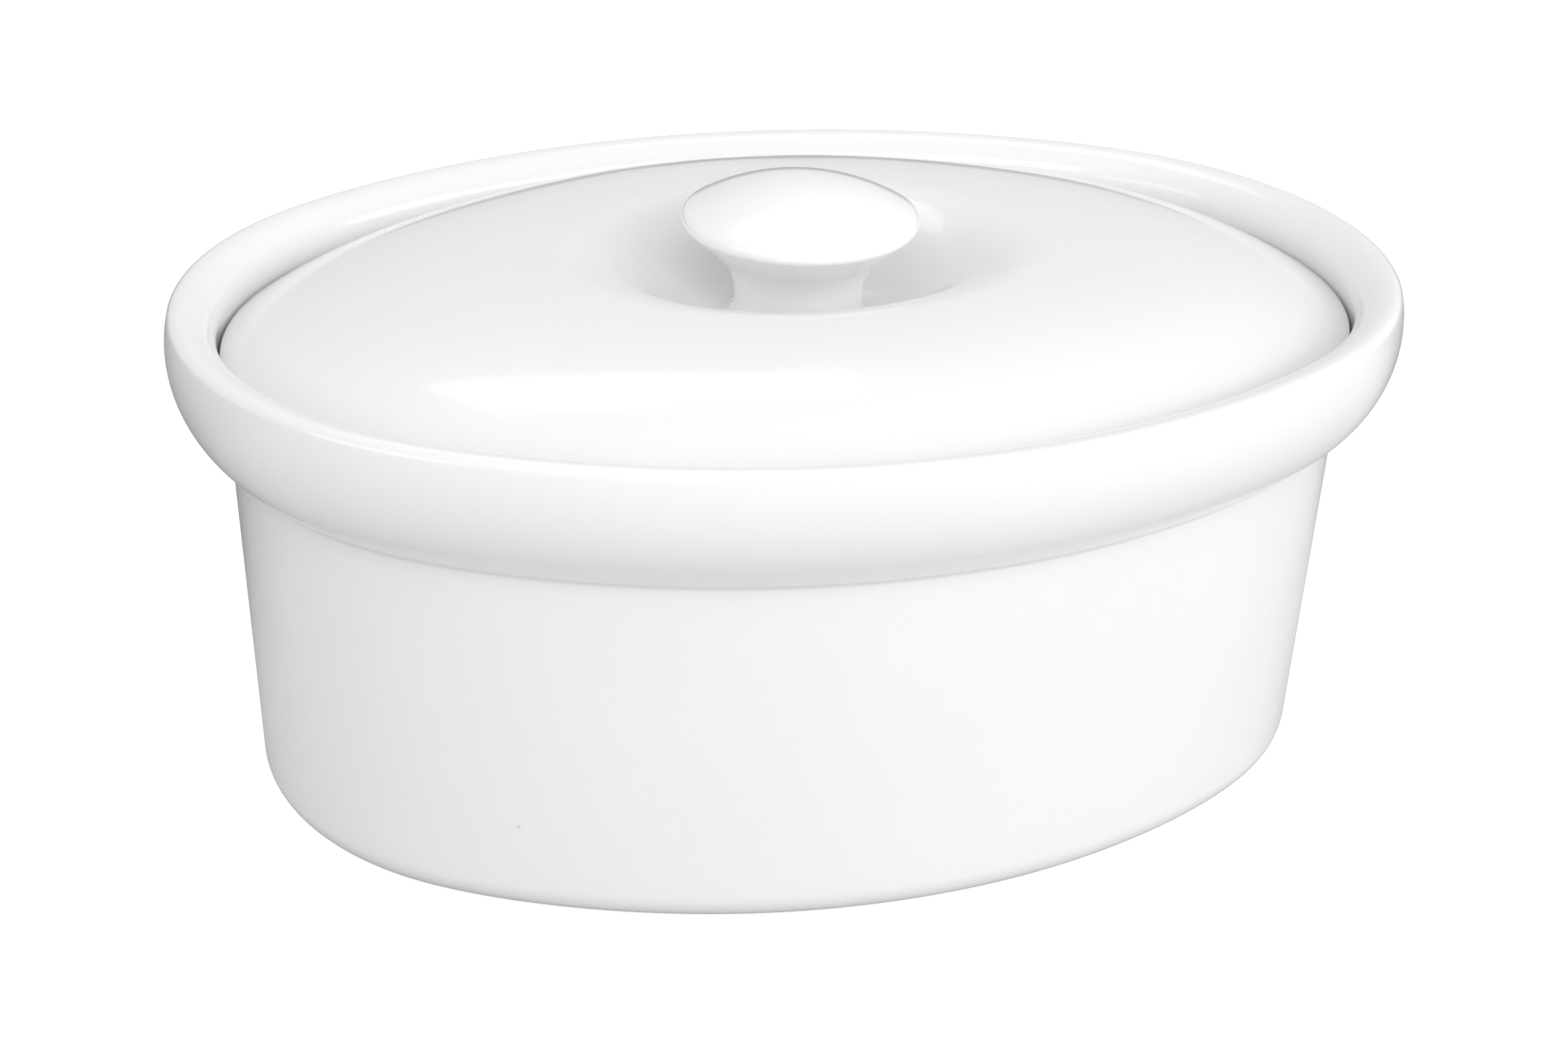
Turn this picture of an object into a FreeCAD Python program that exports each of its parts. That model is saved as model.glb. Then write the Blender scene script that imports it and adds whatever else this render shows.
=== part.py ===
"""Oval covered casserole dish in white glazed porcelain, in millimetres.

Three fired pieces: the dish with its rolled collar, the domed lid that rests on a ledge inside the
collar, and the flared knob that stands in the lid's finger well.  +Z is up, X is the long axis, and
the origin is at the middle of the foot, on the surface that the dish stands on.
"""
import FreeCAD, Part
import Sketcher
import math
import os

V = FreeCAD.Vector
HEIGHT_TOLERANCE = 0.01   # how closely an edge must lie at the height it is looked for
OVAL_TOLERANCE = 0.05     # how closely it must follow the oval
RIM_WAVER = 0.5           # how far the lid's trimmed upper outline may wander in height
FORM_STEP = 5.0           # spacing of the points that the lid's smooth faces pass through
FORM_MARGIN = 6.0         # how far those faces run past the lid's outline

doc = FreeCAD.newDocument("covered_casserole_dish")

# --- driving dimensions ---------------------------------------------------------------------------
DIMENSIONS = [
    ("length", 280.0, "widest part of the collar, along X"),
    ("width", 204.0, "widest part of the collar, along Y"),
    ("end_radius", 86.0, "plan radius of the two end arcs"),
    ("dish_height", 115.0, "foot to the crest of the rim"),
    ("widest_depth", 8.0, "rim crest down to the widest part of the collar"),
    ("collar_depth", 31.0, "rim crest down to the crease under the collar"),
    ("overhang", 13.0, "how far the collar stands out from the wall at the crease"),
    ("collar_radius", 26.85, "section radius of the collar's outer bulge"),
    ("edge_round", 2.5, "outer round of the rim crest"),
    ("lip_round", 8.0, "inner round of the rim crest"),
    ("wall_lean", 4.4, "how far the wall leans in from the crease down to the foot"),
    ("wall_thick", 7.2, "thickness of the wall under the collar"),
    ("gallery_depth", 17.0, "rim crest down to the ledge that carries the lid"),
    ("floor_top", 8.0, "height of the inner floor"),
    ("foot_recess", 1.5, "hollow under the floor, inside the foot ring"),
    ("foot_inset", 33.0, "widest part of the collar in to the foot ring's inner edge"),
    ("pad_inset", 46.0, "widest part of the collar in to where the swept wall meets the floor"),
    ("base_round", 8.0, "outer round between wall and foot"),
    ("inner_round", 14.0, "inner round between wall and floor"),
    ("crease_round", 1.6, "fillet in the crease under the collar"),
    ("ledge_round", 1.6, "round on the inner edge of the ledge"),
    ("lid_gap", 0.5, "clearance between the lid's edge and the collar"),
    ("seat_gap", 0.3, "clearance between the lid's seat and the ledge"),
    ("lid_edge", 6.2, "height of the lid's edge"),
    ("dome_rise", 18.9, "lid's edge up to the crown that the well is sunk into"),
    ("end_power", 4.3, "how square the dome's shoulder is at the ends"),
    ("side_power", 5.7, "how square the dome's shoulder is at the sides"),
    ("lid_thick", 6.5, "thickness of the lid, measured upright"),
    ("seat_width", 5.0, "width of the flat seat under the lid's edge, at the sides"),
    ("lid_edge_round", 1.0, "round on the lid's upper edge"),
    ("well_length", 114.0, "finger well along X, over its rounded lip"),
    ("well_width", 86.0, "finger well along Y, over its rounded lip"),
    ("well_depth", 18.4, "crown down to the floor of the finger well"),
    ("well_steepness", 2.8, "how fast the well drops inside its lip"),
    ("well_corner", 8.0, "how tight the corner between the well's side and floor is"),
    ("knob_radius", 26.4, "widest part of the knob"),
    ("knob_sunk", 0.4, "depth of the flat spot in the well floor that takes the knob"),
    ("knob_rise", 24.7, "foot up to the widest part of the knob"),
    ("knob_crown", 8.7, "widest part of the knob up to its top"),
    ("knob_shoulder", 2.2, "section radius above the widest part"),
    ("knob_lip", 2.1, "section radius under the widest part"),
    ("knob_neck", 14.4, "radius of the waist"),
    ("knob_waist", 6.7, "foot up to the waist"),
    ("knob_flare", 14.0, "section radius from the waist out to the cone under the lip"),
    ("knob_foot", 16.5, "radius of the foot that is luted to the lid"),
    ("knob_fit", 0.2, "clearance round the foot in its seat"),
]

sheet = doc.addObject("Spreadsheet::Sheet", "Dims")
for row, (alias, value, note) in enumerate(DIMENSIONS, start=1):
    sheet.set(f"A{row}", alias)
    sheet.set(f"B{row}", str(value))
    sheet.set(f"C{row}", note)
    sheet.setAlias(f"B{row}", alias)
doc.recompute()


def dim(alias):
    """Current value of one driving dimension."""
    return float(sheet.get(alias))


# --- the four-arc oval ----------------------------------------------------------------------------
# Every outline of the dish and lid is the same oval moved in or out, so it keeps the same four arc
# centres: two on the long axis for the ends, and two on the short axis for the sides.

def oval_centres():
    """Distances of the end-arc and side-arc centres from the middle."""
    half_length = dim("length") / 2
    half_width = dim("width") / 2
    end_centre = half_length - dim("end_radius")
    side_radius = ((half_width ** 2 - dim("end_radius") ** 2 + end_centre ** 2)
                   / (2 * (half_width - dim("end_radius"))))
    return end_centre, side_radius - half_width


def oval_reach(angle, inset):
    """Distance from the middle to the oval at the given inset, in the direction angle."""
    end_centre, side_centre = oval_centres()
    end_radius = dim("end_radius") - inset
    side_radius = dim("width") / 2 + side_centre - inset
    along = abs(math.cos(angle))
    across = abs(math.sin(angle))
    join = math.atan2(side_centre, end_centre)
    join_angle = math.atan2(end_radius * math.sin(join), end_centre + end_radius * math.cos(join))
    if math.atan2(across, along) < join_angle:
        return end_centre * along + math.sqrt(end_radius ** 2 - (end_centre * across) ** 2)
    return math.sqrt(side_radius ** 2 - (side_centre * along) ** 2) - side_centre * across


# --- sketch helpers -------------------------------------------------------------------------------

def new_sketch(body, name, role):
    """Sketch on one of the body's own origin planes."""
    sketch = body.newObject("Sketcher::SketchObject", name)
    plane = next(p for p in body.Origin.OriginFeatures if p.Role == role)
    sketch.AttachmentSupport = (plane, [""])
    sketch.MapMode = "FlatFace"
    return sketch


def bind(sketch, constraint, name, expression):
    """Add a dimensional constraint and tie it to the sheet."""
    index = sketch.addConstraint(constraint)
    sketch.renameConstraint(index, name)
    sketch.setExpression(f"Constraints.{name}", expression)


def arc_between(centre, radius, start, end):
    """Counter-clockwise arc of a circle in a sketch's plane."""
    circle = Part.Circle(V(centre[0], centre[1], 0), V(0, 0, 1), radius)
    first = math.atan2(start[1] - centre[1], start[0] - centre[0])
    last = math.atan2(end[1] - centre[1], end[0] - centre[0])
    if last <= first:
        last += 2 * math.pi
    return Part.ArcOfCircle(circle, first, last)


def oval_sketch(body, name, inset, inset_rule):
    """Four tangent arcs at an inset from the widest outline; inset_rule says the inset in aliases."""
    sketch = new_sketch(body, name, "XY_Plane")
    end_centre, side_centre = oval_centres()
    end_radius = dim("end_radius") - inset
    side_radius = dim("width") / 2 + side_centre - inset
    join = math.atan2(side_centre, end_centre)
    x = end_centre + end_radius * math.cos(join)
    y = end_radius * math.sin(join)
    corners = [(x, -y), (x, y), (-x, y), (-x, -y)]
    arcs = [((end_centre, 0), end_radius), ((0, -side_centre), side_radius),
            ((-end_centre, 0), end_radius), ((0, side_centre), side_radius)]
    for index, (centre, radius) in enumerate(arcs):
        sketch.addGeometry(arc_between(centre, radius, corners[index], corners[(index + 1) % 4]))
    for index in range(4):
        sketch.addConstraint(Sketcher.Constraint("Tangent", index, 2, (index + 1) % 4, 1))
    sketch.addConstraint(Sketcher.Constraint("PointOnObject", 0, 3, -1))
    sketch.addConstraint(Sketcher.Constraint("PointOnObject", 1, 3, -2))
    sketch.addConstraint(Sketcher.Constraint("Symmetric", 0, 3, 2, 3, -1, 1))
    sketch.addConstraint(Sketcher.Constraint("Equal", 1, 3))
    bind(sketch, Sketcher.Constraint("Radius", 0, end_radius), "end_radius",
         f"Dims.end_radius - ({inset_rule})")
    bind(sketch, Sketcher.Constraint("DistanceX", -1, 1, 0, 3, end_centre), "end_centre",
         "Dims.length / 2 - Dims.end_radius")
    side_rule = ("(Dims.width ^ 2 / 4 - Dims.end_radius ^ 2"
                 " + (Dims.length / 2 - Dims.end_radius) ^ 2) / (Dims.width - 2 * Dims.end_radius)")
    bind(sketch, Sketcher.Constraint("Radius", 1, side_radius), "side_radius",
         f"{side_rule} - ({inset_rule})")
    return sketch


# --- dish -----------------------------------------------------------------------------------------

def on_oval(point, inset, height):
    """Whether a point lies on the oval at an inset and a height."""
    reach = oval_reach(math.atan2(point.y, point.x), inset)
    return (abs(point.z - height) < HEIGHT_TOLERANCE
            and abs(math.hypot(point.x, point.y) - reach) < OVAL_TOLERANCE)


def ring_edges(shape, inset, height):
    """Numbers of the edges that follow the oval at an inset and a height."""
    return [number for number, edge in enumerate(shape.Edges, start=1)
            if edge.BoundBox.ZLength < HEIGHT_TOLERANCE
            and all(on_oval(vertex.Point, inset, height) for vertex in edge.Vertexes)]


def crest_inset():
    """How far in the rim's crest lies from the widest part of the collar."""
    radius = dim("collar_radius")
    drop = dim("widest_depth") - dim("edge_round")
    return radius - math.sqrt((radius - dim("edge_round")) ** 2 - drop ** 2)


CREST_RULE = ("Dims.collar_radius - sqrt((Dims.collar_radius - Dims.edge_round) ^ 2"
              " - (Dims.widest_depth - Dims.edge_round) ^ 2)")


def wall_sketch(body):
    """Section of the wall, collar and foot ring, at the end of the long axis."""
    sketch = new_sketch(body, "wall_section", "XZ_Plane")
    edge = dim("length") / 2
    top = dim("dish_height")
    crest = edge - crest_inset()
    inner = crest - dim("lip_round")
    ledge = top - dim("gallery_depth")
    crease = edge - dim("overhang")
    collar_centre = (edge - dim("collar_radius"), top - dim("widest_depth"))
    round_centre = (crest, top - dim("edge_round"))
    lip_centre = (crest, top - dim("lip_round"))
    reach = dim("collar_radius") / (dim("collar_radius") - dim("edge_round"))
    meet = (collar_centre[0] + (round_centre[0] - collar_centre[0]) * reach,
            collar_centre[1] + (round_centre[1] - collar_centre[1]) * reach)
    inside_top = crease - dim("wall_thick")
    ledge_rule = "Dims.dish_height - Dims.gallery_depth"
    corners = [
        (inner, lip_centre[1], None, None),
        (inner, ledge, None, ledge_rule),
        (inside_top, ledge, "Dims.overhang + Dims.wall_thick", ledge_rule),
        (inside_top - dim("wall_lean"), dim("floor_top"),
         "Dims.overhang + Dims.wall_thick + Dims.wall_lean", "Dims.floor_top"),
        (edge - dim("pad_inset"), dim("floor_top"), "Dims.pad_inset", "Dims.floor_top"),
        (edge - dim("pad_inset"), dim("foot_recess"), "Dims.pad_inset", "Dims.foot_recess"),
        (edge - dim("foot_inset") - dim("foot_recess"), dim("foot_recess"),
         "Dims.foot_inset + Dims.foot_recess", "Dims.foot_recess"),
        (edge - dim("foot_inset"), 0.0, "Dims.foot_inset", None),
        (crease - dim("wall_lean"), 0.0, "Dims.overhang + Dims.wall_lean", None),
        (crease, top - dim("collar_depth"), "Dims.overhang", "Dims.dish_height - Dims.collar_depth"),
    ]
    last = len(corners) - 2
    for start, end in zip(corners, corners[1:]):
        sketch.addGeometry(Part.LineSegment(V(start[0], start[1], 0), V(end[0], end[1], 0)))
    for index in range(last):
        sketch.addConstraint(Sketcher.Constraint("Coincident", index, 2, index + 1, 1))
    for index, (x, z, inset_rule, height_rule) in enumerate(corners):
        line, spot = (index, 1) if index <= last else (last, 2)
        if inset_rule:
            bind(sketch, Sketcher.Constraint("DistanceX", -1, 1, line, spot, x), f"out{index}",
                 f"Dims.length / 2 - ({inset_rule})")
        if height_rule:
            bind(sketch, Sketcher.Constraint("DistanceY", -1, 1, line, spot, z), f"up{index}",
                 height_rule)
        elif z == 0.0:
            sketch.addConstraint(Sketcher.Constraint("PointOnObject", line, spot, -1))
    collar = sketch.addGeometry(arc_between(collar_centre, dim("collar_radius"), corners[-1][:2], meet))
    crest_arc = sketch.addGeometry(arc_between(round_centre, dim("edge_round"), meet, (crest, top)))
    lip = sketch.addGeometry(arc_between(lip_centre, dim("lip_round"), (crest, top), corners[0][:2]))
    sketch.addConstraint(Sketcher.Constraint("Coincident", last, 2, collar, 1))
    sketch.addConstraint(Sketcher.Constraint("Tangent", collar, 2, crest_arc, 1))
    sketch.addConstraint(Sketcher.Constraint("Tangent", crest_arc, 2, lip, 1))
    sketch.addConstraint(Sketcher.Constraint("Tangent", lip, 2, 0, 1))
    sketch.addConstraint(Sketcher.Constraint("Vertical", 0))
    bind(sketch, Sketcher.Constraint("Radius", crest_arc, dim("edge_round")), "edge_round",
         "Dims.edge_round")
    bind(sketch, Sketcher.Constraint("Radius", lip, dim("lip_round")), "lip_round", "Dims.lip_round")
    bind(sketch, Sketcher.Constraint("DistanceX", -1, 1, lip, 3, crest), "lip_out",
         f"Dims.length / 2 - ({CREST_RULE})")
    bind(sketch, Sketcher.Constraint("DistanceY", -1, 1, lip, 3, lip_centre[1]), "lip_up",
         "Dims.dish_height - Dims.lip_round")
    sketch.addConstraint(Sketcher.Constraint("Vertical", lip, 3, crest_arc, 3))
    bind(sketch, Sketcher.Constraint("DistanceY", -1, 1, collar, 3, collar_centre[1]), "collar_up",
         "Dims.dish_height - Dims.widest_depth")
    return sketch


def rounded(body, name, inset, height, radius_alias):
    """Fillet on one oval edge of the body so far."""
    doc.recompute()
    base = body.Tip
    fillet = body.newObject("PartDesign::Fillet", name)
    fillet.Base = (base, [f"Edge{number}" for number in ring_edges(base.Shape, inset, height)])
    fillet.setExpression("Radius", f"Dims.{radius_alias}")
    doc.recompute()


def make_dish():
    """Wall, collar and foot swept round the oval, closed by the floor."""
    body = doc.addObject("PartDesign::Body", "casserole_dish")
    path = oval_sketch(body, "widest_outline", 0.0, "0")
    section = wall_sketch(body)
    doc.recompute()
    wall = body.newObject("PartDesign::AdditivePipe", "wall")
    wall.Profile = section
    wall.Spine = (path, [f"Edge{n}" for n in range(1, 5)])
    doc.recompute()
    floor_plan = oval_sketch(body, "floor_plan", dim("pad_inset"), "Dims.pad_inset")
    floor_plan.setExpression("AttachmentOffset.Base.z", "Dims.foot_recess")
    floor = body.newObject("PartDesign::Pad", "floor")
    floor.Profile = floor_plan
    floor.setExpression("Length", "Dims.floor_top - Dims.foot_recess")
    lean = dim("overhang") + dim("wall_lean")
    top = dim("dish_height")
    rounded(body, "base_corner", lean, 0.0, "base_round")
    rounded(body, "crease", dim("overhang"), top - dim("collar_depth"), "crease_round")
    rounded(body, "inner_corner", lean + dim("wall_thick"), dim("floor_top"), "inner_round")
    rounded(body, "ledge_edge", dim("overhang") + dim("wall_thick"), top - dim("gallery_depth"),
            "ledge_round")
    return body


# --- lid ------------------------------------------------------------------------------------------

SEAT_RULE = "Dims.dish_height - Dims.gallery_depth + Dims.seat_gap"
KNOB_SEAT_RULE = f"{SEAT_RULE} + Dims.lid_edge + Dims.dome_rise - Dims.well_depth - Dims.knob_sunk"


def lid_inset():
    """Widest part of the collar in to the lid's edge."""
    return crest_inset() + dim("lip_round") + dim("lid_gap")


def dome(fraction, power):
    """Height of the dome over its edge; fraction is 0 at the middle and 1 at the edge."""
    if fraction > 1.0:
        return -dim("dome_rise") * power * (fraction - 1.0)
    return dim("dome_rise") * (1.0 - fraction ** power)


def well(x, y):
    """Depth of the finger well under the crown: a wide rounded lip, then a dished floor."""
    spread = math.hypot(2 * x / dim("well_length"), 2 * y / dim("well_width"))
    if spread >= 1.0:
        return 0.0
    drop = dim("well_steepness") * (1.0 - spread) ** 2
    corner = dim("well_corner")
    return dim("well_depth") * drop / (1.0 + drop ** corner) ** (1.0 / corner)


def lid_heights(x, y):
    """Lower and upper face of the lid over its seat plane."""
    angle = math.atan2(y, x)
    fraction = math.hypot(x, y) / oval_reach(angle, lid_inset())
    half_width = dim("width") / 2 - lid_inset()
    inner_fraction = fraction / (1.0 - dim("seat_width") / half_width)
    power = dim("end_power") + (dim("side_power") - dim("end_power")) * math.sin(angle) ** 2
    upper = dim("lid_edge") + dome(fraction, power) - well(x, y)
    lower = dim("lid_edge") - dim("lid_thick") + dome(inner_fraction, power) - well(x, y)
    return lower, upper


def smooth_face(side):
    """Lower (0) or upper (1) face of the lid as one smooth surface over a rectangle."""
    half_x = dim("length") / 2 - lid_inset() + FORM_MARGIN
    half_y = dim("width") / 2 - lid_inset() + FORM_MARGIN
    count_x = round(2 * half_x / FORM_STEP)
    count_y = round(2 * half_y / FORM_STEP)
    rows = []
    for i in range(count_x + 1):
        x = half_x * (2 * i / count_x - 1)
        ys = [half_y * (2 * j / count_y - 1) for j in range(count_y + 1)]
        rows.append([V(x, y, lid_heights(x, y)[side]) for y in ys])
    surface = Part.BSplineSurface()
    surface.interpolate(rows)
    return surface.toShape()


def lid_form():
    """Solid between the lid's two smooth faces, before it is trimmed to the oval."""
    lower = smooth_face(0)
    upper = smooth_face(1)
    walls = []
    for low_edge in lower.Edges:
        middle = low_edge.valueAt((low_edge.FirstParameter + low_edge.LastParameter) / 2)
        high_edge = min(upper.Edges, key=lambda e: math.dist(
            e.valueAt((e.FirstParameter + e.LastParameter) / 2)[:2], middle[:2]))
        walls.append(Part.makeRuledSurface(low_edge, high_edge))
    shell = Part.makeCompound([lower, upper] + walls)
    shell.sewShape()
    return Part.makeSolid(Part.Shell(shell.Faces))


def rim_edges(shape, height):
    """Numbers of the lid's upper outline edges, which waver a little where the dome is trimmed."""
    numbers = []
    for number, edge in enumerate(shape.Edges, start=1):
        middle = edge.valueAt((edge.FirstParameter + edge.LastParameter) / 2)
        reach = oval_reach(math.atan2(middle.y, middle.x), lid_inset())
        on_outline = abs(math.hypot(middle.x, middle.y) - reach) < OVAL_TOLERANCE
        if on_outline and abs(middle.z - height) < RIM_WAVER and edge.BoundBox.ZLength < RIM_WAVER:
            numbers.append(number)
    return numbers


def make_lid():
    """Oval blank trimmed between the two smooth faces, with a flat seat for the knob."""
    blank = doc.addObject("PartDesign::Body", "lid_blank")
    outline = oval_sketch(blank, "lid_outline", lid_inset(),
                          f"{CREST_RULE} + Dims.lip_round + Dims.lid_gap")
    pad = blank.newObject("PartDesign::Pad", "lid_height")
    pad.Profile = outline
    pad.setExpression("Length", "Dims.lid_edge + Dims.dome_rise + Dims.lid_thick")
    blank.setExpression("Placement.Base.z", SEAT_RULE)
    form = doc.addObject("Part::Feature", "lid_form")
    form.Shape = lid_form()
    form.setExpression("Placement.Base.z", SEAT_RULE)
    shell = doc.addObject("Part::Common", "lid_shell")
    shell.Base = blank
    shell.Tool = form
    spot = doc.addObject("Part::Cylinder", "knob_seat")
    spot.setExpression("Radius", "Dims.knob_foot + Dims.knob_fit")
    spot.setExpression("Height", "Dims.well_depth")
    spot.setExpression("Placement.Base.z", KNOB_SEAT_RULE)
    seated = doc.addObject("Part::Cut", "lid_seated")
    seated.Base = shell
    seated.Tool = spot
    doc.recompute()
    lid = doc.addObject("Part::Fillet", "lid")
    lid.Base = seated
    edge_height = dim("dish_height") - dim("gallery_depth") + dim("seat_gap") + dim("lid_edge")
    radius = dim("lid_edge_round")
    lid.Edges = [(number, radius, radius) for number in rim_edges(seated.Shape, edge_height)]
    return lid


# --- knob -----------------------------------------------------------------------------------------

def make_knob():
    """Flared knob turned about its own axis, its foot on the floor of the finger well."""
    body = doc.addObject("PartDesign::Body", "lid_knob")
    sketch = new_sketch(body, "knob_section", "XZ_Plane")
    waist = dim("knob_waist")
    neck = dim("knob_neck")
    foot = dim("knob_foot")
    wide = dim("knob_radius")
    rise = dim("knob_rise")
    flare = dim("knob_flare")
    shoulder = dim("knob_shoulder")
    crown = dim("knob_crown")
    under = dim("knob_lip")
    foot_radius = (waist ** 2 + (foot - neck) ** 2) / (2 * (foot - neck))
    flare_centre = (neck + flare, waist)
    under_centre = (wide - under, rise)
    across = under_centre[0] - flare_centre[0]
    upwards = rise - waist
    slope = math.atan2(upwards, -across) - math.acos((flare + under) / math.hypot(across, upwards))
    cone_foot = (flare_centre[0] - flare * math.cos(slope), waist + flare * math.sin(slope))
    cone_top = (under_centre[0] + under * math.cos(slope), rise - under * math.sin(slope))
    inside = wide - shoulder
    top_radius = (inside ** 2 + crown ** 2 - shoulder ** 2) / (2 * (crown - shoulder))
    top_centre = (0.0, rise + crown - top_radius)
    stretch = top_radius / (top_radius - shoulder)
    peak = (inside * stretch, top_centre[1] + (rise - top_centre[1]) * stretch)
    sketch.addGeometry(Part.LineSegment(V(0, 0, 0), V(foot, 0, 0)))
    sketch.addGeometry(arc_between((neck + foot_radius, waist), foot_radius, (neck, waist), (foot, 0)))
    sketch.addGeometry(arc_between(flare_centre, flare, cone_foot, (neck, waist)))
    sketch.addGeometry(Part.LineSegment(V(*cone_foot, 0), V(*cone_top, 0)))
    sketch.addGeometry(arc_between(under_centre, under, cone_top, (wide, rise)))
    sketch.addGeometry(arc_between((inside, rise), shoulder, (wide, rise), peak))
    sketch.addGeometry(arc_between(top_centre, top_radius, peak, (0, rise + crown)))
    sketch.addGeometry(Part.LineSegment(V(0, rise + crown, 0), V(0, 0, 0)))
    sketch.addConstraint(Sketcher.Constraint("Coincident", 0, 1, -1, 1))
    sketch.addConstraint(Sketcher.Constraint("Horizontal", 0))
    sketch.addConstraint(Sketcher.Constraint("Coincident", 0, 2, 1, 2))
    joins = [(1, 1, 2, 2), (2, 1, 3, 1), (3, 2, 4, 1), (4, 2, 5, 1), (5, 2, 6, 1)]
    for first, first_end, second, second_end in joins:
        sketch.addConstraint(Sketcher.Constraint("Tangent", first, first_end, second, second_end))
    sketch.addConstraint(Sketcher.Constraint("Coincident", 6, 2, 7, 1))
    sketch.addConstraint(Sketcher.Constraint("Coincident", 7, 2, 0, 1))
    sketch.addConstraint(Sketcher.Constraint("PointOnObject", 6, 3, -2))
    sketch.addConstraint(Sketcher.Constraint("Vertical", 7))
    bind(sketch, Sketcher.Constraint("DistanceX", -1, 1, 0, 2, foot), "foot", "Dims.knob_foot")
    bind(sketch, Sketcher.Constraint("DistanceX", -1, 1, 2, 2, neck), "neck", "Dims.knob_neck")
    bind(sketch, Sketcher.Constraint("DistanceY", -1, 1, 2, 2, waist), "waist", "Dims.knob_waist")
    bind(sketch, Sketcher.Constraint("DistanceY", -1, 1, 2, 3, waist), "flare_up", "Dims.knob_waist")
    bind(sketch, Sketcher.Constraint("Radius", 2, flare), "flare", "Dims.knob_flare")
    bind(sketch, Sketcher.Constraint("Radius", 4, under), "under", "Dims.knob_lip")
    bind(sketch, Sketcher.Constraint("DistanceX", -1, 1, 4, 2, wide), "wide", "Dims.knob_radius")
    bind(sketch, Sketcher.Constraint("DistanceY", -1, 1, 4, 2, rise), "rise", "Dims.knob_rise")
    bind(sketch, Sketcher.Constraint("DistanceY", -1, 1, 4, 3, rise), "lip_up", "Dims.knob_rise")
    bind(sketch, Sketcher.Constraint("Radius", 5, shoulder), "shoulder", "Dims.knob_shoulder")
    bind(sketch, Sketcher.Constraint("DistanceY", -1, 1, 6, 2, rise + crown), "top",
         "Dims.knob_rise + Dims.knob_crown")
    turned = body.newObject("PartDesign::Revolution", "turned")
    turned.Profile = sketch
    turned.ReferenceAxis = (sketch, ["V_Axis"])
    turned.Angle = 360.0
    body.setExpression("Placement.Base.z", KNOB_SEAT_RULE)
    return body


# --- build, check and write -----------------------------------------------------------------------

PIECES = {"casserole_dish": make_dish(), "lid": make_lid(), "lid_knob": make_knob()}
doc.recompute()

for item in doc.Objects:
    if "Invalid" in item.State or "Error" in item.State:
        raise RuntimeError(f"{item.Name} failed: {item.State}")

os.makedirs("parts", exist_ok=True)
for node, piece in PIECES.items():
    piece.Label = node
    if piece.Shape.isNull() or not piece.Shape.isValid():
        raise RuntimeError(f"{node} has no valid shape")
    if len(piece.Shape.Solids) != 1:
        raise RuntimeError(f"{node} is not one solid")
    piece.Shape.exportStep(f"parts/{node}.step")
    box = piece.Shape.optimalBoundingBox(False)
    print(f"{node}: {piece.Shape.Volume / 1000:.1f} cm3, "
          f"{box.XLength:.1f} x {box.YLength:.1f} x {box.ZLength:.1f} mm, "
          f"z {box.ZMin:.2f} to {box.ZMax:.2f}")
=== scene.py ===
"""Looks of the oval covered casserole dish: glazed white porcelain in a bright, soft studio.

The dish, lid and knob are quad meshes worked out from the same few sizes as the CAD pieces they
stand for. Shape functions work in millimetres; add_piece turns the points into metres.
"""
import math

import bpy
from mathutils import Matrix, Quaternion, Vector


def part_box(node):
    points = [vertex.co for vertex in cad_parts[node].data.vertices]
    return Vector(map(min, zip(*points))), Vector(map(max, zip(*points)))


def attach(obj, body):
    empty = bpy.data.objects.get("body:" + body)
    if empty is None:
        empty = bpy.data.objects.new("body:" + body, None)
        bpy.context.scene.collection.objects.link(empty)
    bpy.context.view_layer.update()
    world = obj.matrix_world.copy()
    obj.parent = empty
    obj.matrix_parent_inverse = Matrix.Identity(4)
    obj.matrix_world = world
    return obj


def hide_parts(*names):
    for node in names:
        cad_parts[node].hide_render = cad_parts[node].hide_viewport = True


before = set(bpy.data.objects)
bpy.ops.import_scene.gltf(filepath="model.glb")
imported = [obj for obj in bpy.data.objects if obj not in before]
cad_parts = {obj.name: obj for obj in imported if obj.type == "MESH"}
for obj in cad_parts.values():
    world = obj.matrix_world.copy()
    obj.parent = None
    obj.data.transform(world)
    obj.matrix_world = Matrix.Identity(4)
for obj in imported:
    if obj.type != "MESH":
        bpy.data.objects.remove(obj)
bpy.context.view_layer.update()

MM = 0.001
AROUND = 288          # points round every oval ring
KNOB_AROUND = 144     # points round the knob
OVAL_SAMPLES = 720    # directions that the oval's series is worked out from
ROUND_STEPS = 8       # points along a small rounded corner
WIDE_STEPS = 16       # points along a wide rounded corner, and up the wall outside
INSIDE_STEPS = 12     # points up the wall inside
COLLAR_STEPS = 20     # points along the collar's bulge
FEW_STEPS = 4         # points along short flats and the smallest rounds
CROWN_STEPS = 40      # points from the knob's top to its shoulder
FLARE_STEPS = 20      # points along the knob's flare
CONE_STEPS = 8        # points along the cone between flare and lip
JOINT_STEPS = 14      # points along the glaze from the knob's waist to the lid
LID_RINGS = 72        # rings over the top of the lid
LID_UNDER_RINGS = 48  # rings over its underside


def node_box(node):
    """Lowest and highest corner of a CAD node, in millimetres."""
    low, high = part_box(node)
    return [v / MM for v in low], [v / MM for v in high]


_, DISH_HIGH = node_box("casserole_dish")
LID_LOW, LID_HIGH = node_box("lid")
KNOB_LOW, KNOB_HIGH = node_box("lid_knob")

# --- sizes in millimetres; an inset is measured inwards from the widest outline of the collar -----
HALF_LENGTH = DISH_HIGH[0]
HALF_WIDTH = DISH_HIGH[1]
END_RADIUS = 86.0         # plan radius of the oval's two ends
OVAL_SMOOTHING = 0.15     # softens the plan where an end meets a side
OVAL_HARMONICS = 8

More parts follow.
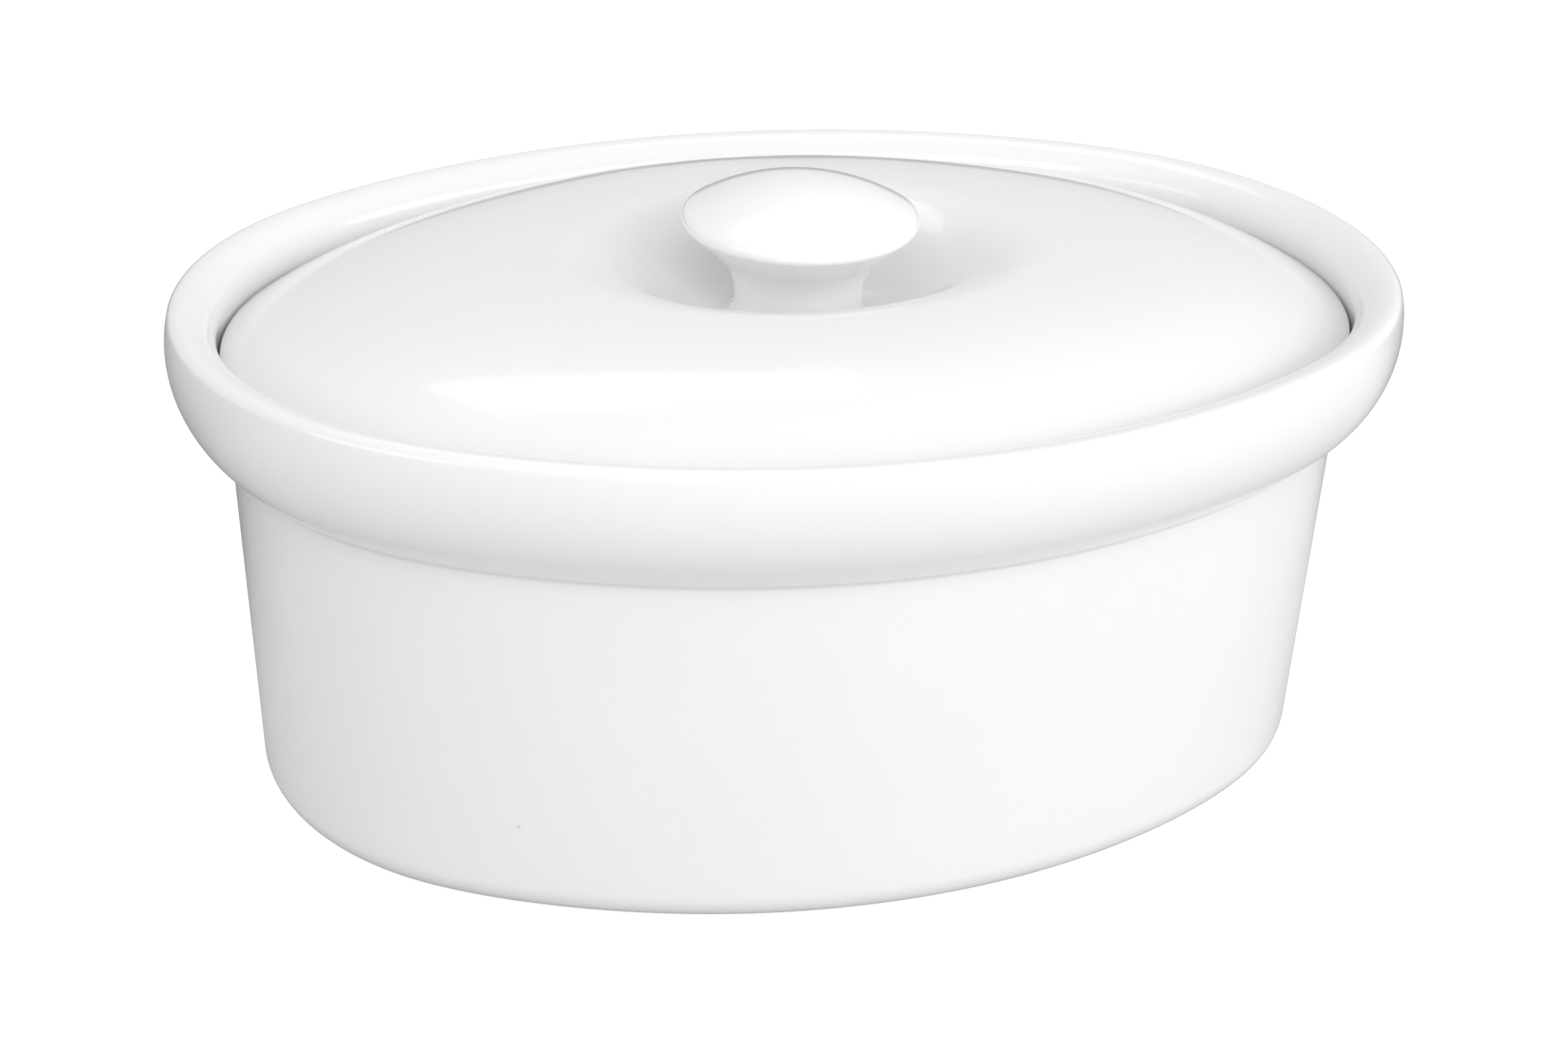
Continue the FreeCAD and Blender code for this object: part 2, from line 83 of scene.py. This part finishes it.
RIM = DISH_HIGH[2]
COLLAR_RADIUS = 26.85     # section radius of the collar's bulge
WIDEST = RIM - 8.0        # height of the collar's widest line
EDGE_ROUND = 2.5          # outer round of the rim
LIP_ROUND = 8.0           # inner round of the rim
OVERHANG = 13.0           # inset of the wall just under the collar
CREASE = RIM - 31.0       # height where the collar meets the wall
CREASE_ROUND = 1.6
WALL_LEAN = 4.4           # more inset at the foot than under the collar
WALL_THICK = 7.2
LEDGE = RIM - 17.0        # height of the ledge that carries the lid
LEDGE_ROUND = 1.6
FLOOR = 8.0
INNER_ROUND = 14.0
BASE_ROUND = 8.0
FOOT_INNER = 33.0         # inset of the foot ring's inner edge
FOOT_RECESS = 1.5
FOOT_ROUND = 0.7
FOOT_EDGE = 2.0           # how far inside the foot ring the flat of the recess starts
FLAT_PARTS = [0.15, 0.35, 0.55, 0.75, 0.9]   # where rings lie across the dish's floor

LID_INSET = HALF_LENGTH - LID_HIGH[0]
SEAT = LID_LOW[2]
SEAT_WIDTH = 5.0
LID_EDGE = 6.2            # height of the lid's edge over its seat
LID_THICK = 6.5
LID_ROUND = 1.0
LID_UNDER_ROUND = 0.8
LID_TOP_REACH = 0.985     # part of the way out that the dome's rings run, up to the edge round
LID_UNDER_REACH = 0.94    # the same underneath, up to the seat
DOME_RISE = 18.9
END_POWER = 4.3           # how square the dome's shoulder is at the ends
SIDE_POWER = 5.7          # how square it is at the sides
WELL_LENGTH = 114.0
WELL_WIDTH = 86.0
WELL_DEPTH = 18.4
WELL_STEEPNESS = 2.8      # how fast the well drops inside its rounded lip
WELL_CORNER = 8.0         # how tight the corner between its side and floor is

KNOB_RADIUS = KNOB_HIGH[0]
KNOB_TOP = KNOB_HIGH[2]
KNOB_FOOT = KNOB_LOW[2]
KNOB_CROWN = 8.7          # height of the crown over the knob's widest line
KNOB_SHOULDER = 2.2       # section radius above the widest line
KNOB_LIP = 2.1            # section radius under the widest line
KNOB_NECK = 14.4          # radius of the waist
KNOB_WAIST = 6.7          # height of the waist over the foot
KNOB_FLARE = 14.0         # section radius of the sweep from the waist out to the cone
GLAZE_FOOT = 19.0         # radius where the glaze over the joint fades into the lid
GLAZE_SUNK = 0.25         # depth of that edge in the lid's surface
GLAZE_PULL = 1.6          # how strongly the glaze keeps the directions that it starts and ends in
GLAZE_SAMPLE = 0.95       # part of that radius where the lid's slope under the edge is read
KNOB_PLUG = 0.6           # part of that radius where the knob's hidden underside is flat


# --- studio: angles in degrees, azimuth 0 in front (-Y) and 90 on the right (+X) -------------------
CAMERA_AZIMUTH = -16.87
CAMERA_ELEVATION = 26.10
CAMERA_DISTANCE = 720.1
CAMERA_ROLL = 1.79
CAMERA_TARGET = (-2.10, -1.79, 55.27)
CAMERA_LENS = 71.53       # focal length on a sensor 36 mm wide
SENSOR_WIDTH = 36.0
LIGHT_DISTANCE = 2.2      # metres from the dish to every softbox
SOFTBOXES = {             # azimuth, elevation, width and height in metres, power in watts
    "front_right": (18, 30, 1.33, 0.7, 7.0),
    "key_front_left": (337.5, 40, 1.4, 0.7, 7.3),
    "key_right": (54, 22, 1.33, 0.7, 10.8),
    "fill_left": (292.5, 20, 1.4, 0.7, 4.4),
    "high_back": (180, 63, 1.15, 0.7, 3.0),
    "low_right": (36, 6, 1.42, 0.7, 5.8),
}
WORLD_LIGHT = 0.73        # strength of the even light from all round
WORLD_SEEN = 1.2          # what the camera sees of it
FLOOR_RADIUS = 6.0        # metres
FLOOR_WHITE = 0.94
FLOOR_GLOW = 0.6
TABLE_DROP = 0.5          # depth of the table that lights the dish under the floor that is seen
TABLE_FRONT = 0.58        # grey of that table in front of the dish
TABLE_BACK = 0.28         # and behind it
TABLE_CHANGE = (0.03, 0.13)   # metres behind the middle where one grey turns into the other
DISH_WHITE = 0.86         # reflectance of each piece under its glaze
LID_WHITE = 0.85
# The knob's white is set above the dish's and the lid's to paint in light on its crown: its real
# white plus painted light.
KNOB_WHITE_PAINTED_BRIGHTER = 0.92


# --- the oval -------------------------------------------------------------------------------------

def oval_series():
    """Cosine series of the oval's support distance: a four-arc oval with its joins softened."""
    end_centre = HALF_LENGTH - END_RADIUS
    side_radius = ((HALF_WIDTH ** 2 - END_RADIUS ** 2 + end_centre ** 2)
                   / (2 * (HALF_WIDTH - END_RADIUS)))
    side_centre = side_radius - HALF_WIDTH
    join = math.atan2(side_centre, end_centre)
    series = [0.0] * (OVAL_HARMONICS + 1)
    for i in range(OVAL_SAMPLES):
        angle = (i + 0.5) * math.pi / 2 / OVAL_SAMPLES
        if angle < join:
            distance = END_RADIUS + end_centre * math.cos(angle)
        else:
            distance = side_radius - side_centre * math.sin(angle)
        for k in range(OVAL_HARMONICS + 1):
            share = (1 if k == 0 else 2) / OVAL_SAMPLES
            series[k] += distance * math.cos(2 * k * angle) * share
    series = [c * math.exp(-0.5 * (k * OVAL_SMOOTHING) ** 2) for k, c in enumerate(series)]
    length_error = HALF_LENGTH - sum(series)
    width_error = HALF_WIDTH - sum(c * (-1) ** k for k, c in enumerate(series))
    series[0] += (length_error + width_error) / 2
    series[1] += (length_error - width_error) / 2
    return series


OVAL = oval_series()


def oval_reach(angle):
    """Distance from the middle to the oval's tangent line whose outward normal has this angle."""
    return sum(c * math.cos(2 * k * angle) for k, c in enumerate(OVAL))


def oval_point(angle, inset):
    """Point of the oval at an inset, where its outward normal has this angle."""
    reach = oval_reach(angle) - inset
    turn = sum(-2 * k * c * math.sin(2 * k * angle) for k, c in enumerate(OVAL))
    return (reach * math.cos(angle) - turn * math.sin(angle),
            reach * math.sin(angle) + turn * math.cos(angle))


ANGLES = [2 * math.pi * i / AROUND for i in range(AROUND)]


def oval_ring(inset, height, scale=1.0):
    """Ring of points at an inset and a height, drawn in towards the middle by a scale."""
    points = [oval_point(angle, inset) for angle in ANGLES]
    return [(x * scale, y * scale, height) for x, y in points]


# --- section helpers: points are (inset, height) --------------------------------------------------

def arc(centre, radius, start, end, steps=ROUND_STEPS):
    """Points of a section arc; an angle of 0 degrees points inwards and 90 up."""
    points = []
    for i in range(steps + 1):
        angle = math.radians(start + (end - start) * i / steps)
        points.append((centre[0] + radius * math.cos(angle), centre[1] + radius * math.sin(angle)))
    return points


def straight(start, end, steps):
    """Points evenly spread between two section points, without the two ends."""
    return [(start[0] + (end[0] - start[0]) * i / steps, start[1] + (end[1] - start[1]) * i / steps)
            for i in range(1, steps)]


def rounded(before, corner, after, radius, steps=ROUND_STEPS):
    """Arc that rounds the corner of two straight section lines."""
    to_before = (Vector(before) - Vector(corner)).normalized()
    to_after = (Vector(after) - Vector(corner)).normalized()
    half = to_before.angle(to_after) / 2
    centre = Vector(corner) + (to_before + to_after).normalized() * radius / math.sin(half)
    first = Vector(corner) + to_before * radius / math.tan(half) - centre
    last = Vector(corner) + to_after * radius / math.tan(half) - centre
    turn = first.angle(last)
    points = []
    for i in range(steps + 1):
        part = i / steps
        spoke = (first * math.sin((1 - part) * turn) + last * math.sin(part * turn)) / math.sin(turn)
        points.append(tuple(centre + spoke))
    return points


def wall_to_collar(wall_foot, crease, collar_centre):
    """Small hollow round between the wall line and the collar's bulge, from wall to collar."""
    wall = (Vector(wall_foot) - Vector(crease)).normalized()
    outwards = Vector((wall.y, -wall.x))
    if outwards.x > 0:
        outwards = -outwards
    start = Vector(crease) + outwards * CREASE_ROUND - Vector(collar_centre)
    reach = COLLAR_RADIUS + CREASE_ROUND
    along = -start.dot(wall) + math.sqrt(start.dot(wall) ** 2 - start.length_squared + reach ** 2)
    centre = Vector(collar_centre) + start + wall * along
    on_wall = -outwards
    on_collar = (Vector(collar_centre) - centre).normalized()
    first = math.degrees(math.atan2(on_wall.y, on_wall.x))
    last = math.degrees(math.atan2(on_collar.y, on_collar.x))
    return arc(centre, CREASE_ROUND, first, last)


# --- meshes ---------------------------------------------------------------------------------------

def add_piece(name, rings, materials, band_material):
    """Closed mesh through rings of points, with a middle point closing each end."""
    count = len(rings[0])
    verts = [tuple(v * MM for v in point) for ring in rings for point in ring]
    faces = []
    bands = []
    for band in range(len(rings) - 1):
        for i in range(count):
            j = (i + 1) % count
            faces.append((band * count + i, band * count + j,
                          (band + 1) * count + j, (band + 1) * count + i))
            bands.append(band)
    for ring in (0, len(rings) - 1):
        middle = len(verts)
        height = sum(point[2] for point in rings[ring]) / count
        verts.append((0.0, 0.0, height * MM))
        for i in range(count):
            pair = (ring * count + i, ring * count + (i + 1) % count)
            faces.append((pair[1], pair[0], middle) if ring == 0 else (*pair, middle))
            bands.append(min(ring, len(rings) - 2))
    mesh = bpy.data.meshes.new(name)
    mesh.from_pydata(verts, [], faces)
    for material in materials:
        mesh.materials.append(material)
    for polygon, band in zip(mesh.polygons, bands):
        polygon.use_smooth = True
        polygon.material_index = band_material(band)
    piece = bpy.data.objects.new(name, mesh)
    bpy.context.scene.collection.objects.link(piece)
    return piece


def dish_section():
    """Outline of the wall, from the foot ring's inner edge over the rim to the floor inside.

    The two numbers that follow it are the first and last section band left bare of glaze.
    """
    wall_foot = (OVERHANG + WALL_LEAN, 0.0)
    crease = (OVERHANG, CREASE)
    collar_centre = (COLLAR_RADIUS, WIDEST)
    edge_height = RIM - EDGE_ROUND - WIDEST
    crest = COLLAR_RADIUS - math.sqrt((COLLAR_RADIUS - EDGE_ROUND) ** 2 - edge_height ** 2)
    inner_wall = crest + LIP_ROUND
    ledge_edge = (OVERHANG + WALL_THICK, LEDGE)
    inner_foot = (OVERHANG + WALL_THICK + WALL_LEAN, FLOOR)
    recess = (FOOT_INNER, FOOT_RECESS)
    foot = (FOOT_INNER, 0.0)
    crease_round = wall_to_collar(wall_foot, crease, collar_centre)
    on_collar = Vector(crease_round[-1]) - Vector(collar_centre)
    collar_start = math.degrees(math.atan2(on_collar.y, on_collar.x)) % 360
    collar_end = 180 - math.degrees(math.asin(edge_height / (COLLAR_RADIUS - EDGE_ROUND)))
    base_round = rounded(foot, wall_foot, crease, BASE_ROUND, WIDE_STEPS)
    section = [(FOOT_INNER + FOOT_EDGE, FOOT_RECESS)]
    section += rounded(section[0], recess, foot, FOOT_ROUND, FEW_STEPS)
    section += rounded(recess, foot, wall_foot, FOOT_ROUND, FEW_STEPS)
    bare_from = len(section) - 3
    section += straight(section[-1], base_round[0], FEW_STEPS) + base_round[:2]
    bare_to = len(section)
    section += base_round[2:]
    section += straight(base_round[-1], crease_round[0], WIDE_STEPS) + crease_round
    section += arc(collar_centre, COLLAR_RADIUS, collar_start, collar_end, COLLAR_STEPS)[1:]
    section += arc((crest, RIM - EDGE_ROUND), EDGE_ROUND, collar_end, 90)[1:]
    section += arc((crest, RIM - LIP_ROUND), LIP_ROUND, 90, 0, WIDE_STEPS)[1:]
    gutter = rounded((inner_wall, RIM), (inner_wall, LEDGE), ledge_edge, LEDGE_ROUND)
    ledge_round = rounded((inner_wall, LEDGE), ledge_edge, inner_foot, LEDGE_ROUND)
    section += straight(section[-1], gutter[0], FEW_STEPS) + gutter
    section += straight(gutter[-1], ledge_round[0], FEW_STEPS) + ledge_round
    inner_round = rounded(ledge_edge, inner_foot, (FOOT_INNER + INNER_ROUND, FLOOR), INNER_ROUND,
                          WIDE_STEPS)
    section += straight(ledge_round[-1], inner_round[0], INSIDE_STEPS) + inner_round
    return section, bare_from, bare_to


def make_dish(glaze, bare):
    """The dish: collar, ledge, leaning wall, floor and a foot ring left bare of glaze."""
    section, bare_from, bare_to = dish_section()
    rings = [oval_ring(*section[0], part) for part in FLAT_PARTS]
    rings += [oval_ring(inset, height) for inset, height in section]
    rings += [oval_ring(*section[-1], part) for part in reversed(FLAT_PARTS)]
    bare_bands = range(len(FLAT_PARTS) + bare_from, len(FLAT_PARTS) + bare_to)
    return add_piece("glazed_dish", rings, [glaze, bare], lambda band: int(band in bare_bands))


def well(x, y):
    """Depth of the oval well round the knob."""
    spread = math.hypot(2 * x / WELL_LENGTH, 2 * y / WELL_WIDTH)
    if spread >= 1:
        return 0.0
    drop = WELL_STEEPNESS * (1 - spread) ** 2
    return WELL_DEPTH * drop / (1 + drop ** WELL_CORNER) ** (1 / WELL_CORNER)


def dome_power(x, y):
    """How square the dome's shoulder is in the direction of a point."""
    across = math.sin(math.atan2(y, x)) ** 2
    return END_POWER + (SIDE_POWER - END_POWER) * across


def lid_top(x, y, part):
    """Height of the lid's upper surface; part is 0 in the middle and 1 at the edge."""
    return SEAT + LID_EDGE + DOME_RISE * (1 - part ** dome_power(x, y)) - well(x, y)


def lid_under(x, y, part):
    """Height of the lid's underside, a lid thickness below its upper surface."""
    inner_part = part / (1 - SEAT_WIDTH / (HALF_WIDTH - LID_INSET))
    height = lid_top(x, y, inner_part) - LID_THICK
    return max(height, SEAT)


def lid_edge_rings():
    """Rings that round the lid's upper edge, from the dome's slope over to upright."""
    rings = []
    for step in range(ROUND_STEPS + 1):
        ring = []
        for angle in ANGLES:
            power = dome_power(*oval_point(angle, LID_INSET))
            slope = math.atan(power * DOME_RISE / (oval_reach(angle) - LID_INSET))
            full = math.pi / 2 - slope
            at = full * (1 - step / ROUND_STEPS)
            centre = (SEAT + LID_EDGE + math.tan(slope) * LID_ROUND * (1 - math.cos(full))
                      - LID_ROUND * math.sin(full))
            x, y = oval_point(angle, LID_INSET + LID_ROUND * (1 - math.cos(at)))
            ring.append((x, y, centre + LID_ROUND * math.sin(at)))
        rings.append(ring)
    return rings


def make_lid(glaze, bare):
    """The domed lid with its well, and a flat seat left bare of glaze."""
    outline = [oval_point(angle, LID_INSET) for angle in ANGLES]
    parts = [LID_TOP_REACH * i / LID_RINGS for i in range(1, LID_RINGS + 1)]
    rings = [[(x * p, y * p, lid_top(x * p, y * p, p)) for x, y in outline] for p in parts]
    rings += lid_edge_rings()
    under_round = arc((LID_INSET + LID_UNDER_ROUND, SEAT + LID_UNDER_ROUND), LID_UNDER_ROUND,
                      180, 270, FEW_STEPS)
    rings += [oval_ring(inset, height) for inset, height in under_round]
    seat_from = len(rings) - 1
    seat_to = seat_from + FEW_STEPS
    seat_end = (LID_INSET + SEAT_WIDTH, SEAT)
    seat = straight(under_round[-1], seat_end, FEW_STEPS) + [seat_end]
    rings += [oval_ring(inset, height) for inset, height in seat]
    parts = [LID_UNDER_REACH * i / LID_UNDER_RINGS for i in range(LID_UNDER_RINGS, 0, -1)]
    rings += [[(x * p, y * p, lid_under(x * p, y * p, p)) for x, y in outline] for p in parts]
    return add_piece("glazed_lid", rings[::-1], [glaze, bare],
                     lambda band: int(len(rings) - 2 - band in range(seat_from, seat_to)))


def knob_section():
    """Outline of the knob from the top of its crown down to its waist, as (radius, height)."""
    widest = KNOB_TOP - KNOB_CROWN
    waist = KNOB_FOOT + KNOB_WAIST
    shoulder = (KNOB_RADIUS - KNOB_SHOULDER, widest)
    lip = (KNOB_RADIUS - KNOB_LIP, widest)
    flare = (KNOB_NECK + KNOB_FLARE, waist)
    crown_radius = ((shoulder[0] ** 2 + KNOB_CROWN ** 2 - KNOB_SHOULDER ** 2)
                    / (2 * (KNOB_CROWN - KNOB_SHOULDER)))
    crown = (0.0, KNOB_TOP - crown_radius)
    crown_end = math.degrees(math.atan2(widest - crown[1], shoulder[0]))
    across = lip[0] - flare[0]
    rise = widest - waist
    slope = math.degrees(math.atan2(rise, -across)
                         - math.acos((KNOB_FLARE + KNOB_LIP) / math.hypot(across, rise)))
    section = arc(crown, crown_radius, 90, crown_end, CROWN_STEPS)[1:]
    section += arc(shoulder, KNOB_SHOULDER, crown_end, 0)[1:]
    section += arc(lip, KNOB_LIP, 0, -slope)[1:]
    sweep = arc(flare, KNOB_FLARE, 180 - slope, 180, FLARE_STEPS)
    return section + straight(section[-1], sweep[0], CONE_STEPS) + sweep


def curve_between(start, end, start_pull, end_pull, t):
    """Value of a smooth curve at t, from its two ends and how hard it is pulled at each."""
    return ((2 * t ** 3 - 3 * t ** 2 + 1) * start + (t ** 3 - 2 * t ** 2 + t) * start_pull
            + (-2 * t ** 3 + 3 * t ** 2) * end + (t ** 3 - t ** 2) * end_pull)


def joint_ring(around, start, t):
    """Ring of the glaze between the knob's waist, at t = 0, and the lid's surface, at t = 1."""
    radius, height = start
    spread = GLAZE_PULL * (GLAZE_FOOT - radius)
    ring = []
    for angle in around:
        x, y = GLAZE_FOOT * math.cos(angle), GLAZE_FOOT * math.sin(angle)
        end = lid_top(x, y, 0.0) - GLAZE_SUNK
        before = lid_top(GLAZE_SAMPLE * x, GLAZE_SAMPLE * y, 0.0) - GLAZE_SUNK
        slope = (end - before) / ((1 - GLAZE_SAMPLE) * GLAZE_FOOT)
        r = curve_between(radius, GLAZE_FOOT, 0.0, spread, t)
        z = curve_between(height, end, -GLAZE_PULL * (height - end), spread * slope, t)
        ring.append((r * math.cos(angle), r * math.sin(angle), z))
    return ring


def make_knob(glaze):
    """The knob: a flat crown on a flared neck, with the glaze run smoothly into the lid."""
    around = [2 * math.pi * i / KNOB_AROUND for i in range(KNOB_AROUND)]
    section = knob_section()
    rings = [[(r * math.cos(a), r * math.sin(a), height) for a in around] for r, height in section]
    rings += [joint_ring(around, section[-1], i / JOINT_STEPS) for i in range(1, JOINT_STEPS + 1)]
    rings.append([(KNOB_PLUG * x, KNOB_PLUG * y, KNOB_FOOT) for x, y, _ in rings[-1]])
    return add_piece("glazed_knob", rings[::-1], [glaze], lambda band: 0)


# --- materials ------------------------------------------------------------------------------------

def node_material(name):
    """New material and its node tree, with the Principled shader."""
    material = bpy.data.materials.new(name)
    material.use_nodes = True
    return material, material.node_tree, material.node_tree.nodes["Principled BSDF"]


def noise_node(tree, scale, detail=2.0):
    """Noise in object space; scale is in cycles per metre."""
    coordinates = tree.nodes.new("ShaderNodeTexCoord")
    node = tree.nodes.new("ShaderNodeTexNoise")
    node.inputs["Scale"].default_value = scale
    node.inputs["Detail"].default_value = detail
    tree.links.new(coordinates.outputs["Object"], node.inputs["Vector"])
    return node


def ramp_node(tree, source, low, high, first, last):
    """Colour ramp between two greys or colours."""
    node = tree.nodes.new("ShaderNodeValToRGB")
    node.color_ramp.elements[0].position = low
    node.color_ramp.elements[1].position = high
    node.color_ramp.elements[0].color = (*first, 1.0)
    node.color_ramp.elements[1].color = (*last, 1.0)
    tree.links.new(source, node.inputs["Fac"])
    return node


def bump_node(tree, height, distance, strength, previous=None):
    """Bump of a height in metres."""
    node = tree.nodes.new("ShaderNodeBump")
    node.inputs["Distance"].default_value = distance
    node.inputs["Strength"].default_value = strength
    tree.links.new(height, node.inputs["Height"])
    if previous:
        tree.links.new(previous.outputs["Normal"], node.inputs["Normal"])
    return node


def glaze_material(name, white):
    """Clear gloss over white porcelain, with faint ripples and specks."""
    material, tree, shader = node_material(name)
    shade = ramp_node(tree, noise_node(tree, 22.0, 4.0).outputs["Fac"], 0.35, 0.7,
                      (white - 0.012,) * 3, (white,) * 3)
    coordinates = tree.nodes.new("ShaderNodeTexCoord")
    cells = tree.nodes.new("ShaderNodeTexVoronoi")
    cells.inputs["Scale"].default_value = 95.0
    tree.links.new(coordinates.outputs["Object"], cells.inputs["Vector"])
    dots = ramp_node(tree, cells.outputs["Distance"], 0.03, 0.05, (1, 1, 1), (0, 0, 0))
    rare = ramp_node(tree, noise_node(tree, 60.0).outputs["Fac"], 0.68, 0.7, (0, 0, 0), (1, 1, 1))
    both = tree.nodes.new("ShaderNodeMath")
    both.operation = "MULTIPLY"
    tree.links.new(dots.outputs["Color"], both.inputs[0])
    tree.links.new(rare.outputs["Color"], both.inputs[1])
    colour = tree.nodes.new("ShaderNodeMix")
    colour.data_type = "RGBA"
    colour.inputs["B"].default_value = (0.7, 0.68, 0.65, 1.0)
    tree.links.new(both.outputs["Value"], colour.inputs["Factor"])
    tree.links.new(shade.outputs["Color"], colour.inputs["A"])
    tree.links.new(colour.outputs["Result"], shader.inputs["Base Color"])
    sheen = ramp_node(tree, noise_node(tree, 35.0, 3.0).outputs["Fac"], 0.3, 0.75,
                      (0.16,) * 3, (0.24,) * 3)
    tree.links.new(sheen.outputs["Color"], shader.inputs["Roughness"])
    ripple = bump_node(tree, noise_node(tree, 28.0, 1.0).outputs["Fac"], 0.0012, 0.35)
    peel = bump_node(tree, noise_node(tree, 420.0, 2.0).outputs["Fac"], 0.00006, 0.5, ripple)
    tree.links.new(peel.outputs["Normal"], shader.inputs["Normal"])
    tree.links.new(ripple.outputs["Normal"], shader.inputs["Coat Normal"])
    shader.inputs["Coat Weight"].default_value = 0.6
    shader.inputs["Coat Roughness"].default_value = 0.04
    shader.inputs["Subsurface Weight"].default_value = 0.12
    shader.inputs["Subsurface Scale"].default_value = 0.004
    shader.inputs["Subsurface Radius"].default_value = (1.0, 0.9, 0.8)
    return material


def bare_material(name):
    """Unglazed porcelain where the piece stood in the kiln: matt, slightly warm and grainy."""
    material, tree, shader = node_material(name)
    shade = ramp_node(tree, noise_node(tree, 900.0, 3.0).outputs["Fac"], 0.3, 0.7,
                      (0.62, 0.60, 0.56), (0.76, 0.745, 0.71))
    tree.links.new(shade.outputs["Color"], shader.inputs["Base Color"])
    rough = ramp_node(tree, noise_node(tree, 200.0, 2.0).outputs["Fac"], 0.3, 0.7,
                      (0.72,) * 3, (0.88,) * 3)
    tree.links.new(rough.outputs["Color"], shader.inputs["Roughness"])
    grain = bump_node(tree, noise_node(tree, 1800.0, 4.0).outputs["Fac"], 0.00012, 0.8)
    tree.links.new(grain.outputs["Normal"], shader.inputs["Normal"])
    shader.inputs["Specular IOR Level"].default_value = 0.3
    return material


# --- studio ---------------------------------------------------------------------------------------

def aim(thing, azimuth, elevation, distance, target, roll=0.0):
    """Puts a camera or light at a distance from the target, looking at it."""
    a, e = math.radians(azimuth), math.radians(elevation)
    back = Vector((math.sin(a) * math.cos(e), -math.cos(a) * math.cos(e), math.sin(e)))
    thing.location = Vector(target) + back * distance
    thing.rotation_mode = "QUATERNION"
    turn = Quaternion(back, math.radians(roll))
    thing.rotation_quaternion = turn @ (-back).to_track_quat("-Z", "Y")


def add_camera():
    """Camera at the viewing angle of a table-top product shot."""
    data = bpy.data.cameras.new("camera")
    data.sensor_width = SENSOR_WIDTH
    data.lens = CAMERA_LENS
    data.clip_start = 0.01
    camera = bpy.data.objects.new("camera", data)
    bpy.context.scene.collection.objects.link(camera)
    target = [v * MM for v in CAMERA_TARGET]
    aim(camera, CAMERA_AZIMUTH, CAMERA_ELEVATION, CAMERA_DISTANCE * MM, target, CAMERA_ROLL)
    bpy.context.scene.camera = camera


def add_softbox(name, azimuth, elevation, width, height, power):
    """Softbox that faces the middle of the dish."""
    data = bpy.data.lights.new(name, "AREA")
    data.shape = "RECTANGLE"
    data.size = width
    data.size_y = height
    data.energy = power
    light = bpy.data.objects.new(name, data)
    bpy.context.scene.collection.objects.link(light)
    aim(light, azimuth, elevation, LIGHT_DISTANCE, (0.0, 0.0, RIM / 2 * MM))


def paper_material(name):
    """Matt studio paper without a colour yet."""
    material, tree, shader = node_material(name)
    shader.inputs["Roughness"].default_value = 0.9
    shader.inputs["Specular IOR Level"].default_value = 0.1
    return material, tree, shader


def white_paper():
    """Very pale paper that glows a little, so that it shows as plain white."""
    material, tree, shader = paper_material("floor_paper")
    shade = ramp_node(tree, noise_node(tree, 400.0, 4.0).outputs["Fac"], 0.3, 0.7,
                      (FLOOR_WHITE - 0.01,) * 3, (FLOOR_WHITE + 0.01,) * 3)
    tree.links.new(shade.outputs["Color"], shader.inputs["Base Color"])
    shader.inputs["Emission Color"].default_value = (1.0, 1.0, 1.0, 1.0)
    shader.inputs["Emission Strength"].default_value = FLOOR_GLOW
    return material


def grey_paper():
    """Grey paper that is paler in front of the dish than behind it."""
    material, tree, shader = paper_material("table_paper")
    place = tree.nodes.new("ShaderNodeSeparateXYZ")
    coordinates = tree.nodes.new("ShaderNodeTexCoord")
    tree.links.new(coordinates.outputs["Object"], place.inputs["Vector"])
    shade = ramp_node(tree, place.outputs["Y"], *TABLE_CHANGE, (TABLE_FRONT,) * 3, (TABLE_BACK,) * 3)
    tree.links.new(shade.outputs["Color"], shader.inputs["Base Color"])
    return material


def add_floor(name, material, height):
    """Wide plain floor."""
    bpy.ops.mesh.primitive_circle_add(vertices=96, radius=FLOOR_RADIUS, fill_type="NGON",
                                      location=(0.0, 0.0, height))
    floor = bpy.context.object
    floor.name = name
    floor.data.materials.append(material)
    return floor


def add_floors():
    """White floor that the camera sees, and a grey one just under it that lights the dish."""
    seen = add_floor("floor", white_paper(), 0.0)
    seen.visible_diffuse = False
    seen.visible_glossy = False
    seen.visible_shadow = False
    table = add_floor("table", grey_paper(), -TABLE_DROP * MM)
    table.visible_camera = False


def light_world(strength, seen):
    """Even white surroundings; what the camera sees of them is brighter than their light."""
    world = bpy.data.worlds.new("studio")
    bpy.context.scene.world = world
    world.use_nodes = True
    tree = world.node_tree
    background = tree.nodes["Background"]
    background.inputs["Color"].default_value = (1.0, 1.0, 1.0, 1.0)
    background.inputs["Strength"].default_value = strength
    backdrop = tree.nodes.new("ShaderNodeBackground")
    backdrop.inputs["Strength"].default_value = seen
    path = tree.nodes.new("ShaderNodeLightPath")
    mix = tree.nodes.new("ShaderNodeMixShader")
    tree.links.new(path.outputs["Is Camera Ray"], mix.inputs["Fac"])
    tree.links.new(background.outputs["Background"], mix.inputs[1])
    tree.links.new(backdrop.outputs["Background"], mix.inputs[2])
    tree.links.new(mix.outputs["Shader"], tree.nodes["World Output"].inputs["Surface"])


# --- the dish in its studio -----------------------------------------------------------------------

bare = bare_material("bare_porcelain")

dish = make_dish(glaze_material("dish_glaze_white", DISH_WHITE), bare)
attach(dish, "dish")
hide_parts("casserole_dish")

lid = make_lid(glaze_material("lid_glaze_white", LID_WHITE), bare)
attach(lid, "lid")
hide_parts("lid")

# The knob's glaze is made whiter than the dish's, which paints extra light onto the crown.
knob = make_knob(glaze_material("knob_glaze_white_painted_brighter", KNOB_WHITE_PAINTED_BRIGHTER))
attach(knob, "lid")
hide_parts("lid_knob")

add_floors()
light_world(WORLD_LIGHT, WORLD_SEEN)
for softbox, settings in SOFTBOXES.items():
    add_softbox(softbox, *settings)
add_camera()

scene = bpy.context.scene
scene.view_settings.view_transform = "Standard"
scene.view_settings.look = "None"
